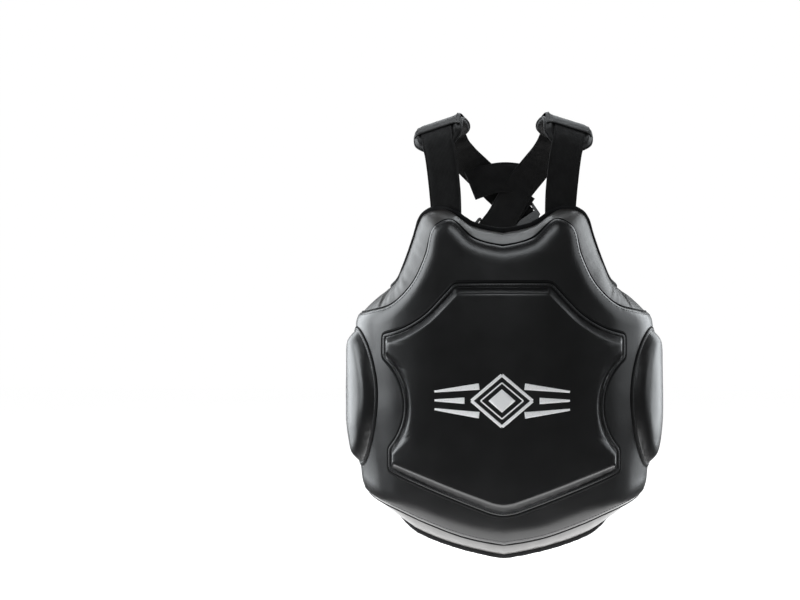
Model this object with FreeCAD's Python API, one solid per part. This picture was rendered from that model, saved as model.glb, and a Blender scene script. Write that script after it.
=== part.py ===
import FreeCAD, Part
import os
from math import radians, sin, cos, sqrt

# Body protector: a C-shaped foam pad with wings, closed at the back by webbing straps.
# Millimetres. +Z is up, the front faces -Y, +X is the wearer's left.
# The origin is the middle of the torso space at the height of the waist strap.

os.makedirs("parts", exist_ok=True)
V = FreeCAD.Vector

# ---- driving dimensions --------------------------------------------------------------
FRONT_R = 330.0          # plan radius of the outer front surface
FRONT_CY = 180.0         # its centre in Y
JOIN_X = 160.0           # where the front curve meets the side curve
SIDE_R = 145.0           # plan radius of the outer side surface
REAR_Y = 60.0            # plane where the wings end
SKIN = 2.0               # leather cloth thickness
FRONT_FOAM = 28.0        # front foam layer, with the smaller outline
REAR_FOAM = 27.0         # rear foam layer, with the larger outline
PAD_MID_Z = 60.0         # outlines shrink towards this height
WING_LOW_Z = -117.0      # lower edge of the wings
REACH = 300.0            # cutting solids reach this far, past the whole pad
INSET = 0.985            # scale of an outline that lies one skin inside
SHIELD_RISE = 13.0       # raised centre panel
DISC_RISE = 14.0         # raised side panels
DISC_ANGLE = -15.0       # direction a side panel faces, from +X
DISC_HALF_W = 72.0
DISC_HALF_H = 107.5
DISC_Z = 34.0
GAP = 0.3                # clearance between soft parts and straps

WEB_W = 50.0             # webbing width
WEB_T = 2.0              # webbing thickness
SHOULDER_TOP = V(98.5, 0.0, 466.0)
SHOULDER_R = 66.0        # curve of the strap over the shoulder
SHOULDER_TILT = 16.0     # slope of the shoulder, outwards
SHOULDER_YAW = 12.0      # turn of the strap towards the middle of the back
PAD_FRONT = -72.0        # shoulder pad, from the top of the shoulder, in degrees
PAD_BACK = 44.0
PAD_HALF_W = 39.0

BUCKLE_LEN = 46.0        # socket, from its mouth plane back to the end of the ladder
BUCKLE_HALF_W = 31.0
BUCKLE_HALF_T = 6.0
PLUG_HALF_T = 5.2
PIVOT_U = 14.0           # root of a latch arm inside the plug
PIVOT_V = 19.0
BAR_U = -35.0            # ladder bar of the socket
BAR_W = -0.5
PLUG_BAR_U = 36.0        # bar of the plug
BAR_R = 2.2
LOOP_R = 3.5             # middle of the webbing where it turns round a bar
WAIST_R = 297.0          # plan radius of the waist strap over the back
WAIST_BACK_Y = 112.0     # back of the waist strap on the centre line

SIDE_CX = JOIN_X * (1 - SIDE_R / FRONT_R)
SIDE_CY = FRONT_CY - sqrt(FRONT_R ** 2 - JOIN_X ** 2) * (1 - SIDE_R / FRONT_R)
PAD_T = SKIN + FRONT_FOAM + REAR_FOAM


def export(name, shape):
    shape.exportStep("parts/" + name + ".step")


def mirrored(shape):
    return shape.mirror(V(0, 0, 0), V(1, 0, 0))


# ---- the pad: plan section, front outlines and side cut ------------------------------
def plan_arc(offset, side):
    """Edges of the plan curve at a depth below the outer surface, and its end points."""
    front = FRONT_R - offset
    flank = SIDE_R - offset
    ax, ay = JOIN_X / FRONT_R, -sqrt(1 - (JOIN_X / FRONT_R) ** 2)
    join = V(front * ax, FRONT_CY + front * ay, 0)
    end = V(SIDE_CX + sqrt(flank ** 2 - (REAR_Y - SIDE_CY) ** 2), REAR_Y, 0)
    half = V(SIDE_CX + flank * cos(radians(-20)), SIDE_CY + flank * sin(radians(-20)), 0)
    return V(side * end.x, end.y, 0), V(side * half.x, half.y, 0), V(side * join.x, join.y, 0)


def plan_slab(outer, inner):
    """C-shaped layer between two depths, upright and taller than the pad."""
    def run(offset):
        left, right = plan_arc(offset, -1), plan_arc(offset, 1)
        nose = V(0, FRONT_CY - FRONT_R + offset, 0)
        arcs = [Part.Arc(*left), Part.Arc(left[2], nose, right[2]), Part.Arc(*right)]
        return [arc.toShape() for arc in arcs], left[0], right[0]
    out_edges, out_left, out_right = run(outer)
    in_edges, in_left, in_right = run(inner)
    ends = [Part.makeLine(out_left, in_left), Part.makeLine(out_right, in_right)]
    wire = Part.Wire(Part.__sortEdges__(out_edges + in_edges + ends))
    slab = Part.Face(wire).extrude(V(0, 0, 700))
    slab.translate(V(0, 0, -REACH))
    return slab


def both_sides(half):
    return [V(-x, 0, z) for x, z in reversed(half) if x > 0] + [V(x, 0, z) for x, z in half]


def curve(points):
    spline = Part.BSplineCurve()
    spline.interpolate(points)
    return spline.toShape()


# Half outlines in front view, from the centre line outwards.
BACK_TOP = [(0, 289), (44, 299), (90, 326), (124, 317), (138, 282), (160, 226), (190, 196),
            (228, 177), (262, 170)]
BACK_BOTTOM = [(0, -206), (75, -190), (148, -161), (215, -127), (262, -118)]
FACE_TOP = [(0, 262), (44, 273), (85, 303), (106, 293), (120, 250), (142, 207), (172, 179),
            (212, 168), (262, 165)]
FACE_BOTTOM = [(0, -181), (59, -171), (116, -153), (177, -131), (220, -119), (262, -113)]


def outline_prism(top, bottom, scale):
    """Solid whose front view is the outline, shrunk by scale towards the middle of the pad."""
    def shrink(half):
        return [(x * scale, PAD_MID_Z + (z - PAD_MID_Z) * scale) for x, z in half]
    upper, lower = both_sides(shrink(top)), both_sides(shrink(bottom))
    edges = [curve(upper), curve(lower)]
    edges += [Part.makeLine(upper[end], lower[end]) for end in (0, -1)]
    face = Part.Face(Part.Wire(Part.__sortEdges__(edges)))
    face.translate(V(0, -REACH, 0))
    return face.extrude(V(0, 2 * REACH, 0))


def side_prism(rear, lift):
    """Solid whose side view ends the wings at the rear plane and lifts their lower edge."""
    def corner(y, z):
        return V(-REACH, y, z)
    wing_low, front_low, top = WING_LOW_Z + lift, -230 + lift, 400
    low = [corner(-55, front_low), corner(-25, -138 + lift), corner(25, wing_low)]
    rise = Part.Arc(*low).toShape()
    corners = [low[2], corner(rear, wing_low), corner(rear, top), corner(-REACH, top),
               corner(-REACH, front_low), low[0]]
    lines = [Part.makeLine(a, b) for a, b in zip(corners, corners[1:])]
    return Part.Face(Part.Wire(Part.__sortEdges__([rise] + lines))).extrude(V(2 * REACH, 0, 0))


def layer(outer, inner, top, bottom, scale):
    """One layer of the pad; a scale below 1 keeps it one skin inside the edge."""
    inset = 0.0 if scale >= 1 else SKIN
    shape = plan_slab(outer, inner).common(outline_prism(top, bottom, scale))
    return shape.common(side_prism(REAR_Y - inset, inset)).removeSplitter()


MID = SKIN + FRONT_FOAM
export("outer_face_cover", layer(0, SKIN, FACE_TOP, FACE_BOTTOM, 1.0))
export("front_foam_layer", layer(SKIN, MID, FACE_TOP, FACE_BOTTOM, INSET))
export("rear_foam_layer", layer(MID + SKIN, PAD_T, BACK_TOP, BACK_BOTTOM, INSET))
export("back_lining", layer(PAD_T, PAD_T + SKIN, BACK_TOP, BACK_BOTTOM, INSET))

face_rim = layer(SKIN, MID, FACE_TOP, FACE_BOTTOM, 1.0).cut(layer(SKIN, MID, FACE_TOP, FACE_BOTTOM, INSET))
step = layer(MID, MID + SKIN, BACK_TOP, BACK_BOTTOM, 1.0)
step = step.cut(layer(MID - 1, MID + SKIN + 1, FACE_TOP, FACE_BOTTOM, INSET))
back_rim = layer(MID + SKIN, PAD_T, BACK_TOP, BACK_BOTTOM, 1.0)
back_rim = back_rim.cut(layer(MID + SKIN, PAD_T, BACK_TOP, BACK_BOTTOM, INSET))
export("edge_gusset", face_rim.fuse(step).fuse(back_rim).removeSplitter())
hem = layer(PAD_T, PAD_T + SKIN + 1, BACK_TOP, BACK_BOTTOM, 1.0)
export("edge_binding", hem.cut(layer(PAD_T - 1, PAD_T + SKIN + 2, BACK_TOP, BACK_BOTTOM, INSET)))


# ---- raised centre shield ------------------------------------------------------------
SHIELD_MID_Z = 35.0


def shield_prism(scale):
    def place(x, z):
        return V(x * scale, -REACH, SHIELD_MID_Z + (z - SHIELD_MID_Z) * scale)
    shoulder = [(72, 207), (94, 183), (116, 161), (147, 142), (183, 131)]
    waist = [(183, 95), (149, 27), (174, -41)]
    low_corner, tip_side, tip = (174, -75), (18, -135), (0, -138)
    edges = [Part.makeLine(place(-72, 207), place(72, 207))]
    for side in (1, -1):
        def half(points):
            return [place(side * x, z) for x, z in points]
        edges.append(curve(half(shoulder)))
        edges.append(Part.Arc(*half(waist)).toShape())
        for run in ((shoulder[-1], waist[0]), (waist[-1], low_corner), (low_corner, tip_side)):
            edges.append(Part.makeLine(*half(run)))
    edges.append(Part.Arc(place(-tip_side[0], tip_side[1]), place(*tip), place(*tip_side)).toShape())
    return Part.Face(Part.Wire(Part.__sortEdges__(edges))).extrude(V(0, REACH, 0))


shield = plan_slab(-SHIELD_RISE, 0).common(shield_prism(1.0))
shield_core = plan_slab(-SHIELD_RISE + SKIN, 0).common(shield_prism(INSET))
export("shield_foam", shield_core)
export("shield_cover", shield.cut(shield_core))


# ---- raised side discs ---------------------------------------------------------------
def disc_prism(inset):
    """Oval prism that points outwards through the middle of the side curve."""
    ellipse = Part.Ellipse(V(0, 0, 0), DISC_HALF_H - inset, DISC_HALF_W - inset)
    prism = Part.Face(Part.Wire(ellipse.toShape())).extrude(V(0, 0, 200))
    facing = V(cos(radians(DISC_ANGLE)), sin(radians(DISC_ANGLE)), 0)
    up = V(0, 0, 1)
    across = facing.cross(up)
    turn = FreeCAD.Matrix(up.x, across.x, facing.x, SIDE_CX, up.y, across.y, facing.y, SIDE_CY,
                          up.z, across.z, facing.z, DISC_Z, 0, 0, 0, 1)
    return prism.transformGeometry(turn)


disc = plan_slab(-DISC_RISE, 0).common(disc_prism(0))
disc_core = plan_slab(-DISC_RISE + SKIN, 0).common(disc_prism(SKIN))
for side, place in (("left", lambda s: s), ("right", mirrored)):
    export("side_disc_foam_" + side, place(disc_core))
    export("side_disc_cover_" + side, place(disc.cut(disc_core)))


# ---- webbing -------------------------------------------------------------------------
def webbing(stations, width=WEB_W, thick=WEB_T):
    """Flat band through stations of (centre, direction of its width)."""
    sections = []
    for index, (centre, across) in enumerate(stations):
        before = stations[max(index - 1, 0)][0]
        after = stations[min(index + 1, len(stations) - 1)][0]
        along = (after - before).normalize()
        across = (across - along * across.dot(along)).normalize()
        out = along.cross(across)
        w, t = across * (width / 2), out * (thick / 2)
        ring = [centre - w - t, centre + w - t, centre + w + t, centre - w + t]
        sections.append(Part.makePolygon(ring + ring[:1]))
    return Part.makeLoft(sections, True, True)


def frame_at(origin, along, out):
    """Placement whose x runs along, z points out and y lies across."""
    x = V(along).normalize()
    z = (V(out) - x * V(out).dot(x)).normalize()
    y = z.cross(x)
    return FreeCAD.Placement(FreeCAD.Matrix(x.x, y.x, z.x, origin.x, x.y, y.y, z.y, origin.y,
                                            x.z, y.z, z.z, origin.z, 0, 0, 0, 1))


# ---- where the three buckles sit -----------------------------------------------------
waist_angle = radians(-14.0)
waist_centre_y = WAIST_BACK_Y - WAIST_R
BUCKLES = {
    "waist": frame_at(
        V(WAIST_R * sin(waist_angle), waist_centre_y + WAIST_R * cos(waist_angle) + 2, 0),
        V(cos(waist_angle), -sin(waist_angle), 0), V(sin(waist_angle), cos(waist_angle), 0)),
    "back_left": frame_at(V(47, 126, 296), V(0.55, -0.10, -0.83), V(0, 1, 0)),
    "back_right": frame_at(V(-43, 117.5, 270), V(-0.61, -0.08, -0.79), V(0, 1, 0)),
}


def at(buckle, u, v, w):
    return BUCKLES[buckle].multVec(V(u, v, w))


def across_of(buckle):
    return BUCKLES[buckle].Rotation.multVec(V(0, 1, 0))


def box(u0, u1, v0, v1, w0, w1):
    return Part.makeBox(u1 - u0, v1 - v0, w1 - w0, V(u0, v0, w0))


def bar(u, w):
    return Part.makeCylinder(BAR_R, 54, V(u, -27, w), V(0, 1, 0))


def round_upright_edges(shape, radius, test):
    edges = [e for e in shape.Edges if abs(e.tangentAt(e.FirstParameter).z) > 0.99 and test(e.CenterOfMass)]
    return shape.makeFillet(radius, edges)


def round_faces_at(shape, half_t):
    """Breaks the edges of the outer and the inner face of a buckle half."""
    edges = [e for e in shape.Edges if abs(abs(e.CenterOfMass.z) - half_t) < 0.01]
    return shape.makeFillet(1.2, edges)


def socket_shape():
    body = box(-BUCKLE_LEN, 6, -BUCKLE_HALF_W, BUCKLE_HALF_W, -BUCKLE_HALF_T, BUCKLE_HALF_T)
    body = round_upright_edges(body, 4, lambda c: True)
    body = round_faces_at(body, BUCKLE_HALF_T)
    body = body.cut(box(-26, 8, -26.3, 26.3, -3.7, 3.7))
    for side in (-1, 1):
        window = box(-21, -5.5, 25, 33, -3.7, 3.7)
        notch = Part.makeCylinder(9, 14, V(-12, 33, -7), V(0, 0, 1))
        opening = window.fuse(notch)
        if side < 0:
            opening = opening.mirror(V(0, 0, 0), V(0, 1, 0))
        body = body.cut(opening)
    body = body.cut(box(-42, -30, -26.5, 26.5, -7, 7))
    body = body.cut(box(-48, -42, -26.5, 26.5, -7, 1.5))
    return body.fuse(bar(BAR_U, BAR_W)).removeSplitter()


def plug_shape():
    base = box(6.6, 29, -29.5, 29.5, -PLUG_HALF_T, PLUG_HALF_T)
    base = round_faces_at(base, PLUG_HALF_T)
    for side in (-1, 1):
        rail = box(28, 39.5, 26.5, 29.5, -4, 4)
        slot = box(5, PIVOT_U, 15.6, 21.4, -3.4, 3.4)
        seat = Part.makeCylinder(2.8, 6.8, V(PIVOT_U, PIVOT_V, -3.4), V(0, 0, 1))
        if side < 0:
            rail, slot, seat = [s.mirror(V(0, 0, 0), V(0, 1, 0)) for s in (rail, slot, seat)]
        base = base.fuse(rail).cut(slot).cut(seat)
    tongue = box(-22, 7, -6, 6, -2.2, 2.2)
    tongue = round_upright_edges(tongue, 3, lambda c: c.x < -20)
    return base.fuse(tongue).fuse(bar(PLUG_BAR_U, 0)).removeSplitter()


def latch_shape():
    """Spring arm with a round root, a thin beam and a hooked finger pad."""
    plan = [V(PIVOT_U, 17.2, 0), V(-22, 18.5, 0), V(-22, 20.5, 0), V(-14, 28.2, 0), V(-6.2, 28.6, 0),
            V(-6.2, 22.5, 0), V(8, 20.8, 0), V(PIVOT_U, 20.8, 0)]
    arm = Part.Face(Part.makePolygon(plan + plan[:1])).extrude(V(0, 0, 6.4))
    root = Part.makeCylinder(2.5, 6.4, V(PIVOT_U, PIVOT_V, 0), V(0, 0, 1))
    arm = arm.fuse(root).removeSplitter()
    arm.translate(V(0, 0, -3.2))
    return arm


socket, plug, latch = socket_shape(), plug_shape(), latch_shape()
for name, spot in BUCKLES.items():
    export(name + "_buckle_socket", socket.transformed(spot.toMatrix()))
    export(name + "_buckle_plug", plug.transformed(spot.toMatrix()))
    export(name + "_latch_arm_a", latch.transformed(spot.toMatrix()))
    other = latch.mirror(V(0, 0, 0), V(0, 1, 0))
    export(name + "_latch_arm_b", other.transformed(spot.toMatrix()))


def half_turn(bar_u, bar_w, angles, side):
    """Middle of the webbing where it turns round a bar, on one side of it."""
    turns = [radians(a) for a in angles]
    return [(bar_u + side * LOOP_R * cos(a), bar_w + LOOP_R * sin(a)) for a in turns]


def ladder_loop(buckle):
    """Webbing into a socket's ladder, round its bar and out again on the outer side."""
    route = [(-62, -5.4), (-50, -4.8), (BAR_U - 4, BAR_W - LOOP_R)]
    route += half_turn(BAR_U, BAR_W, range(-90, 91, 30), 1)
    route += [(-40.5, 0.8), (-46, -1.2), (-52, -1.8)]
    return [(at(buckle, u, 0, w), across_of(buckle)) for u, w in route]


def plug_loop(buckle):
    """Webbing sewn back on itself round the bar of a plug, from its cut end outwards."""
    route = [(74, -3.6), (56, -3.6), (PLUG_BAR_U, -LOOP_R)]
    route += half_turn(PLUG_BAR_U, 0, range(-60, 91, 30), -1)
    route += [(48, 1.6), (58, -0.6)]
    return [(at(buckle, u, 0, w), across_of(buckle)) for u, w in route]


# ---- shoulder straps and their pads --------------------------------------------------
tilt, yaw = radians(SHOULDER_TILT), radians(SHOULDER_YAW)
SHOULDER_AXIS = V(cos(yaw) * cos(tilt), sin(yaw) * cos(tilt), -sin(tilt))
BACKWARD = V(-sin(yaw), cos(yaw), 0)
OUTWARD = SHOULDER_AXIS.cross(BACKWARD)
SHOULDER_C = SHOULDER_TOP - OUTWARD * SHOULDER_R
LINING_R = FRONT_R - PAD_T - SKIN - 1


def over_shoulder(degrees, radius=SHOULDER_R):
    a = radians(degrees)
    return SHOULDER_C + OUTWARD * (radius * cos(a)) + BACKWARD * (radius * sin(a))


def flip(stations):
    return [(V(-p.x, p.y, p.z), V(-w.x, w.y, w.z)) for p, w in stations]


def front_of_shoulder():
    """Left shoulder strap from its seam behind the front panel to the back of the shoulder."""
    seat = radians(19.0)
    across = V(cos(seat), sin(seat), 0)
    depth = LINING_R - WEB_T / 2 - 1.5
    foot = V(depth * sin(seat), FRONT_CY - depth * cos(seat), 236)
    rise = [(foot, across), (foot + V(0, 0, 80), across), (V(88.5, -74, 344), V(1, 0.25, -0.05)),
            (V(91, -73, 370), V(1, 0.22, -0.15)), (V(94, -71, 394), V(1, 0.21, -0.25))]
    arc = [(over_shoulder(a), SHOULDER_AXIS) for a in range(-80, 56, 5)]
    return rise + arc


left_route = front_of_shoulder() + [
    (V(72, 68, 426), V(0.86, 0.2, -0.42)), (V(50, 92, 400), V(0.84, 0.1, -0.5)),
    (V(26, 107, 371), V(0.81, 0.03, -0.56)), (V(8, 113, 341), V(0.80, 0, -0.6))]
right_route = flip(front_of_shoulder()) + [
    (V(-70, 72, 426), V(-0.86, 0.2, -0.44)), (V(-45, 105.4, 403), V(-0.84, 0.1, -0.52)),
    (V(-12, 121.8, 373), V(-0.83, 0.03, -0.55))]
right_tail = [
    (at("back_left", -62, 1, -0.2), V(1, 0, 0.45)), (V(19, 129.8, 370), V(1, 0, 0.2)),
    (V(21, 128.5, 408), V(1, 0, 0.1))]
left_tail = [
    (at("back_right", -66, 0, -2.8), across_of("back_right")),
    (at("back_right", -94, 0, -6.0), V(-0.79, 0, 0.61)),
    (V(32, 114.5, 369), V(-0.79, 0, 0.61))]
folded_end = [(V(38, 113.5, 386), V(-0.32, 0, 0.95)), (V(4, 108, 390), V(-0.32, 0, 0.95)),
              (V(-54, 93, 374.5), V(-0.32, 0, 0.95))]


def buckle_end(buckle):
    return [(p, -w) for p, w in ladder_loop(buckle)]


left_strap = webbing(left_route + buckle_end("back_right") + left_tail)
export("shoulder_strap_left", left_strap.fuse(webbing(folded_end)))
export("shoulder_strap_right", webbing(right_route + buckle_end("back_left") + right_tail))


def pad_sector(r0, r1, half_w, start, end):
    """Part of a tube round the shoulder's axis, between two radii and two angles."""
    length = 2 * half_w
    origin = V(0, 0, -half_w)
    ring = Part.makeCylinder(r1, length, origin, V(0, 0, 1), end - start)
    ring = ring.cut(Part.makeCylinder(r0, length, origin, V(0, 0, 1), end - start))
    ring.rotate(V(0, 0, 0), V(0, 0, 1), start)
    turn = FreeCAD.Matrix(OUTWARD.x, BACKWARD.x, -SHOULDER_AXIS.x, SHOULDER_C.x,
                          OUTWARD.y, BACKWARD.y, -SHOULDER_AXIS.y, SHOULDER_C.y,
                          OUTWARD.z, BACKWARD.z, -SHOULDER_AXIS.z, SHOULDER_C.z, 0, 0, 0, 1)
    return ring.transformed(turn)


strap_in = SHOULDER_R - WEB_T / 2 - GAP
strap_out = SHOULDER_R + WEB_T / 2 + GAP
PAD_FOAM = 7.0
PAD_SKIN = 1.5
END_SKIN = 1.5           # degrees of cover at each end of the saddle
foam = pad_sector(strap_in - PAD_SKIN - PAD_FOAM, strap_in - PAD_SKIN, PAD_HALF_W - PAD_SKIN,
                  PAD_FRONT + END_SKIN, PAD_BACK - END_SKIN)
saddle = pad_sector(strap_in - 2 * PAD_SKIN - PAD_FOAM, strap_in, PAD_HALF_W, PAD_FRONT, PAD_BACK)
saddle = saddle.cut(foam)
TUNNEL_FRONT, TUNNEL_BACK = -44.0, 26.0
TUNNEL_FOOT = WEB_W / 2 + 1.5
tunnel = pad_sector(strap_in, strap_out + PAD_SKIN, PAD_HALF_W - 2, TUNNEL_FRONT, TUNNEL_BACK)
tunnel = tunnel.cut(pad_sector(strap_in - 1, strap_out, TUNNEL_FOOT, TUNNEL_FRONT - 1, TUNNEL_BACK + 1))
for side, place in (("left", lambda s: s), ("right", mirrored)):
    export("shoulder_pad_foam_" + side, place(foam))
    export("shoulder_pad_cover_" + side, place(saddle))
    export("shoulder_pad_tunnel_" + side, place(tunnel))


# ---- lower back straps and their anchor patches --------------------------------------
PATCH_X, PATCH_Z, PATCH_W = 195.0, 111.0, 54.0
patch_y = REAR_Y + GAP
patch = Part.makeBox(PATCH_W, WEB_T, WEB_W, V(PATCH_X - PATCH_W / 2, patch_y, PATCH_Z - WEB_W / 2))
export("strap_anchor_left", patch)
export("strap_anchor_right", mirrored(patch))

rest_y = patch_y + WEB_T + GAP + WEB_T / 2
for side, sign, across in (("left", 1, V(0.83, 0, 0.55)), ("right", -1, V(0.79, 0, -0.61))):
    buckle = "back_" + side
    foot = [(V(sign * 162, rest_y + 9, 133), across), (V(sign * 178, rest_y + 1.5, 112), across),
            (V(sign * 190, rest_y, 96), across)]
    loop = plug_loop(buckle)
    if across.dot(across_of(buckle)) < 0:
        foot = [(p, -w) for p, w in foot]
    export("back_strap_" + side, webbing(loop + [(at(buckle, 84, 0, -2.5), across_of(buckle))] + foot))


# ---- waist strap ---------------------------------------------------------------------
def round_back(degrees):
    a = radians(degrees)
    return V(WAIST_R * sin(a), waist_centre_y + WAIST_R * cos(a), 0)


UP = V(0, 0, 1)
wing_y = REAR_Y + GAP + WEB_T / 2
long_end = [(round_back(a), UP) for a in (6, 14, 22, 29)]
long_end += [(V(163, wing_y + 4.5, 0), UP), (V(222, wing_y, 0), UP)]
export("waist_strap_long", webbing([(p, UP) for p, w in plug_loop("waist")] + long_end))
short_start = [(V(-222, wing_y, 0), UP), (V(-178, wing_y, 0), UP), (V(-158, wing_y + 6.5, 0), UP)]
short_route = short_start + [(p, UP) for p, w in ladder_loop("waist")]

# The strap's tail folds forwards beside the socket, then over the strap's upper edge and
# down behind the buckle. Each fold has a lower and an upper end: (u, v), the depth w of
# the layer behind and of the layer in front, and the direction in which it bulges.
FIRST_FOLD = ((-53, 25, -1.9, 1.3), (-87, -26, -9.6, -6.4), V(-0.83, 0.56, 0))
TOP_FOLD = ((-20.5, -43.5, -9.5, 12.5), (-86, -26, -16.5, 0.5), V(-0.34, -0.94, 0))
FOLD_FLATNESS = 0.5


def fold_line(fold, turn):
    """Cross line of the webbing where it has turned this far, from 0 in front to 180 behind."""
    low, high, away = fold
    ends = []
    for u, v, behind, front in (low, high):
        half = (front - behind) / 2
        middle = V(u, v, (front + behind) / 2 + half * cos(radians(turn)))
        ends.append(middle + away * (half * FOLD_FLATNESS * sin(radians(turn))))
    return ends[0], ends[1], away * sin(radians(turn)) + V(0, 0, cos(radians(turn)))


def band(lines):
    """Band through cross lines of (one end, other end, direction of its thickness)."""
    rings = []
    for a, b, out in lines:
        t = out * (WEB_T / 2)
        rings.append(Part.makePolygon([a - t, b - t, b + t, a + t, a - t]))
    return Part.makeLoft(rings, True, True)


IN_FRONT, BEHIND = V(0, 0, 1), V(0, 0, -1)
tail = [(V(-50, 25, -1.8), V(-50, -25, -1.8), BEHIND)]
tail += [fold_line(FIRST_FOLD, turn) for turn in (180, 120, 60, 0)]
tail.append((V(-46.8, 10.3, 8.2), V(-87, -26, -3), IN_FRONT))
tail += [fold_line(TOP_FOLD, turn) for turn in (0, 45, 90, 135, 180)]
tail.append((V(-1, -34.5, -9.3), V(-58, -11.4, -10), BEHIND))
tail.append((V(76.4, 2.4, -12.4), V(53.4, 46.8, -9.8), BEHIND))
tail_band = band(tail).transformed(BUCKLES["waist"].toMatrix())
export("waist_strap_short", webbing(short_route).fuse(tail_band))
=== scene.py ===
import math

import bmesh
import bpy
import numpy as np
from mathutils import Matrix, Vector


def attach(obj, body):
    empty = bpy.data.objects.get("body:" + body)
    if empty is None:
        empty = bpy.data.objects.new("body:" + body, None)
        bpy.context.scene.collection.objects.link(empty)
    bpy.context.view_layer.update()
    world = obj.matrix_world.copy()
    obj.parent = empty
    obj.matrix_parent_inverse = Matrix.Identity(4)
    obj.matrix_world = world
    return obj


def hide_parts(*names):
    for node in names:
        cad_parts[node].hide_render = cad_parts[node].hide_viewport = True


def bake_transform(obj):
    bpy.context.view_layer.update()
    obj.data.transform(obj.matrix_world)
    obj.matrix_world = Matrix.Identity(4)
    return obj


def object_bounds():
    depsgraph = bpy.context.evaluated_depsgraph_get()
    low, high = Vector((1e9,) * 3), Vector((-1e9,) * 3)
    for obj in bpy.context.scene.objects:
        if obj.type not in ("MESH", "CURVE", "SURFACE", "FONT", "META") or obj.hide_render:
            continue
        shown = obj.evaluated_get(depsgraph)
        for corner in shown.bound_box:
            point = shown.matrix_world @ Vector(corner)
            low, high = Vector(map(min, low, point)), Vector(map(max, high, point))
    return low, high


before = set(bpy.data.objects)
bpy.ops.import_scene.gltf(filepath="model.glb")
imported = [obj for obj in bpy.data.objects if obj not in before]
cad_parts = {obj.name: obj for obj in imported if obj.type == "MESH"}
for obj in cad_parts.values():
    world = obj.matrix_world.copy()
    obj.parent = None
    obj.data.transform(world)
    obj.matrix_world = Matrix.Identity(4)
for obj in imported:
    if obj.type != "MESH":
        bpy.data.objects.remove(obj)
cad_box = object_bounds()

MM = 0.001

# ---- the pad's shape, as in the CAD model, in millimetres
FRONT_R, FRONT_CY, JOIN_X, SIDE_R = 330.0, 180.0, 160.0, 145.0
JOIN_A = math.asin(JOIN_X / FRONT_R)
JOIN_S = FRONT_R * JOIN_A
SIDE_CX = JOIN_X * (1 - SIDE_R / FRONT_R)
SIDE_CY = FRONT_CY - math.cos(JOIN_A) * (FRONT_R - SIDE_R)
PAD_T = 57.0
SEAM_DEPTH = 12.0        # where the face panel meets the gusset
ROLL = 24.0              # width of the face panel's rounded edge
WAIST_LEAN = 11.0        # how far the wings lean in below the waist
LEAN_ACROSS, LEAN_DOWN = (165, 235), (-10, 110)     # where the lean sets in
DISC_S, DISC_Z, DISC_A, DISC_B = 283.4, 34.0, 75.4, 107.5

# Half outlines of the face panel and of the pad's back edge: distance round the pad, height.
FACE_EDGE = [(0, 262), (44, 273), (86, 303), (108, 293), (123, 250), (147, 207), (181, 179), (239, 168),
             (321, 166), (347, 165), (359, 160), (364, 148), (364, 128), (364, -70), (364, -92), (359, -105),
             (345, -112), (321, -113), (256, -119), (187, -131), (119, -153), (59, -171), (0, -181)]
BACK_EDGE = [(0, 289), (53, 299), (111, 326), (156, 317), (178, 282), (212, 240), (240, 218), (275, 210),
             (321, 207), (370, 208), (387, 203), (393, 189), (393, 168), (393, -76), (393, -100),
             (388, -113), (372, -118), (321, -119), (262, -134), (205, -158), (145, -178), (75, -194),
             (0, -206)]


def pad_point(s, z, depth):
    """Points at a distance s round the pad, a height z and a depth below its outer surface."""
    s, z, depth = np.broadcast_arrays(np.asarray(s, float), np.asarray(z, float), np.asarray(depth, float))
    reach = np.abs(s)
    turn = np.minimum(reach, JOIN_S) / FRONT_R
    swing = JOIN_A - math.pi / 2 + np.maximum(reach - JOIN_S, 0) / SIDE_R
    on_side = reach > JOIN_S
    front, side = FRONT_R - depth, SIDE_R - depth
    x = np.where(on_side, SIDE_CX + side * np.cos(swing), front * np.sin(turn))
    y = np.where(on_side, SIDE_CY + side * np.sin(swing), FRONT_CY - front * np.cos(turn))
    x = x - WAIST_LEAN * smoothstep(*LEAN_ACROSS, x) * smoothstep(*LEAN_DOWN, -z)
    return np.stack([x * np.sign(s), y, z], -1)


def on_pad(flat, depth):
    """The same for an array of (s, z)."""
    return pad_point(flat[..., 0], flat[..., 1], depth)


# ---- curves and distances
def span_counts(*routes, step):
    """Steps in each span of a route, enough for the longest of several routes."""
    gaps = [np.linalg.norm(np.diff(np.array(route, float), axis=0), axis=1) for route in routes]
    return [max(1, int(math.ceil(g / step))) for g in np.max(gaps, axis=0)]


def hermite(points, step=None, counts=None):
    """Smooth curve through points; counts gives the steps of each span."""
    p = np.asarray(points, float)
    gap = np.linalg.norm(np.diff(p, axis=0), axis=1)
    slope = np.diff(p, axis=0) / gap[:, None]
    tangent = np.zeros_like(p)
    for i in range(1, len(p) - 1):
        a, b = gap[i - 1], gap[i]
        tangent[i] = (slope[i - 1] * b + slope[i] * a) / (a + b)
    tangent[0] = slope[0] * 1.5 - tangent[1] * 0.5
    tangent[-1] = slope[-1] * 1.5 - tangent[-2] * 0.5
    out = []
    for i, count in enumerate(counts or span_counts(p, step=step)):
        u = (np.arange(count) / count)[:, None]
        h00, h10 = 2 * u ** 3 - 3 * u ** 2 + 1, u ** 3 - 2 * u ** 2 + u
        h01, h11 = -2 * u ** 3 + 3 * u ** 2, u ** 3 - u ** 2
        out.append(h00 * p[i] + h10 * gap[i] * tangent[i] + h01 * p[i + 1] + h11 * gap[i] * tangent[i + 1])
    return np.concatenate(out + [p[-1:]])


def mirrored(half):
    """Closed outline from its right half, whose two ends lie on the centre line."""
    return np.concatenate([half, half[::-1][1:-1] * (-1, 1)])


def distances(points):
    """Distance of each point along a path from its start."""
    return np.concatenate([[0], np.cumsum(np.linalg.norm(np.diff(points, axis=0), axis=1))])


def rows_at(where, known, rows):
    """Rows of a table interpolated at new places."""
    return np.stack([np.interp(where, known, column) for column in rows.T], -1)


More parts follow.
